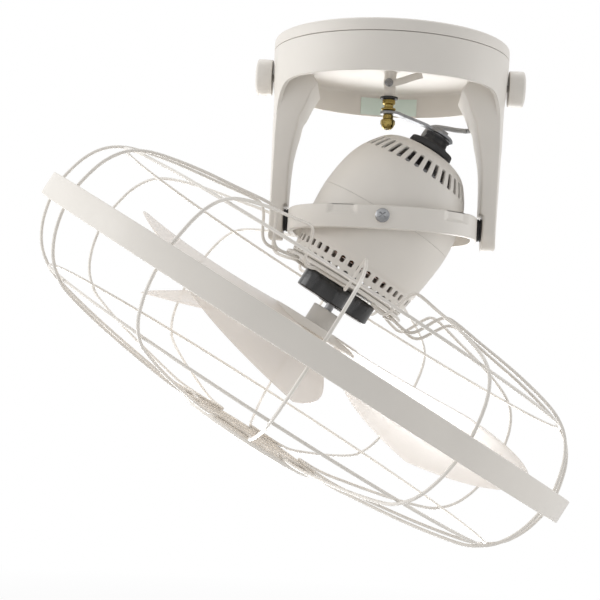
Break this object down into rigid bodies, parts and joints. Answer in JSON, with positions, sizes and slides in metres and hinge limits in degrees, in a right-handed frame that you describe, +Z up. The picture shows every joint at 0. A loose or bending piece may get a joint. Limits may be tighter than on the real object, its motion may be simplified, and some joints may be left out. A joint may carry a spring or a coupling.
{
  "type": "orbital ceiling fan",
  "caption": "Ceiling fan whose caged head swings round a circle: motor and guard hang in a gimbal ring between the arms of a round ceiling yoke, led by a crank.",
  "frame": {"origin": "centre of the flat face of the ceiling base that lies on the ceiling", "axes": "+Z up out of the ceiling base into the ceiling; X along the line through the two arms of the yoke; the head leans so that its rear points to +X and its front to -X; -Y is the side the picture is taken from"},
  "size_m": [0.5075, 0.565, 0.4665],
  "materials": {
    "warm_white_plastic": "satin",
    "blade_plastic": "satin, milky and a little see-through",
    "nylon": "matte",
    "guard_paint": "satin",
    "black_plastic": "gloss",
    "black_rubber": "matte",
    "zinc": "zinc plated",
    "steel": "bare",
    "gearbox_aluminium": "die cast",
    "brass": "polished",
    "copper_winding": "varnished copper wire",
    "label_paper": "plain pale green",
    "grey_cable": "matte"
  },
  "bodies": {
    "ceiling_yoke": {"ceiling_base": "warm_white_plastic", "yoke": "warm_white_plastic", "rod_sleeve": "warm_white_plastic", "rod_washer": "black_rubber", "rod_pin": "steel", "rod_stay": "warm_white_plastic", "rod_stay_screw": "zinc", "rating_label": "label_paper", "terminal_block": "nylon", "arm_pin_right": "zinc", "arm_pin_left": "zinc", "yoke_cable": "grey_cable"},
    "ring": {"gimbal_ring": "warm_white_plastic", "pivot_bush_right": "black_rubber", "pivot_bush_left": "black_rubber", "motor_cable": "grey_cable"},
    "motor_head": {"front_shell": "warm_white_plastic", "rear_shell": "warm_white_plastic", "stator_core": "steel", "winding_front": "copper_winding", "winding_rear": "copper_winding", "bearing_front": "steel", "bearing_rear": "steel", "capacitor": "black_plastic", "gearbox_case": "gearbox_aluminium", "gearbox_boot": "black_rubber", "head_screw_front": "zinc", "head_screw_rear": "zinc", "guard_nut": "black_plastic", "rear_guard_plate": "guard_paint", "rear_wire_1": "guard_paint", "rear_wire_2": "guard_paint", "rear_wire_3": "guard_paint", "rear_wire_4": "guard_paint", "rear_wire_5": "guard_paint", "rear_wire_6": "guard_paint", "front_wire_1": "guard_paint", "front_wire_2": "guard_paint", "front_wire_3": "guard_paint", "front_wire_4": "guard_paint", "front_wire_5": "guard_paint", "front_wire_6": "guard_paint", "rear_hoop": "guard_paint", "front_hoop": "guard_paint", "guard_band": "warm_white_plastic", "front_medallion": "warm_white_plastic"},
    "blade_set": {"fan_blade": "blade_plastic", "blade_nut": "nylon", "motor_shaft": "steel", "rotor": "steel", "worm": "brass"},
    "worm_wheel": {"worm_wheel": "nylon"},
    "crank": {"output_shaft": "steel", "crank_plate": "zinc", "eye_bush": "brass", "acorn_nut": "brass", "crank_nut": "zinc"},
    "knob_left": {"side_knob_left": "warm_white_plastic"},
    "knob_right": {"side_knob_right": "warm_white_plastic"}
  },
  "joints": [
    {"name": "ring_tilt", "type": "hinge", "parent": "ceiling_yoke", "child": "ring", "pos_m": [0, 0, -0.171], "axis": [1, 0, 0], "range_deg": [-29.25, 29.25], "deforming": ["yoke_cable"]},
    {"name": "head_tilt", "type": "hinge", "parent": "ring", "child": "motor_head", "pos_m": [0, 0, -0.171], "axis": [0, 1, 0], "range_deg": [-58.5, 0], "deforming": ["motor_cable"]},
    {"name": "crank_turn", "type": "hinge", "parent": "motor_head", "child": "crank", "pos_m": [0, 0, -0.171], "axis": [0.4886, 0, 0.8725], "range_deg": [0, 180]},
    {"name": "blade_spin", "type": "hinge", "parent": "motor_head", "child": "blade_set", "pos_m": [0, 0, -0.171], "axis": [0.4886, 0, 0.8725], "continuous": true},
    {"name": "worm_wheel_turn", "type": "hinge", "parent": "motor_head", "child": "worm_wheel", "pos_m": [0.03535, 0, -0.14266], "axis": [0, 1, 0], "continuous": true},
    {"name": "knob_left_turn", "type": "hinge", "parent": "ceiling_yoke", "child": "knob_left", "pos_m": [-0.12, 0, -0.035], "axis": [1, 0, 0], "continuous": true},
    {"name": "knob_right_turn", "type": "hinge", "parent": "ceiling_yoke", "child": "knob_right", "pos_m": [0.12, 0, -0.035], "axis": [1, 0, 0], "continuous": true}
  ],
  "couplings": [
    {"joint": "crank_turn", "follows": "head_tilt", "ratio": -3.0769},
    {"joint": "worm_wheel_turn", "follows": "blade_spin", "ratio": 0.041667}
  ]
}
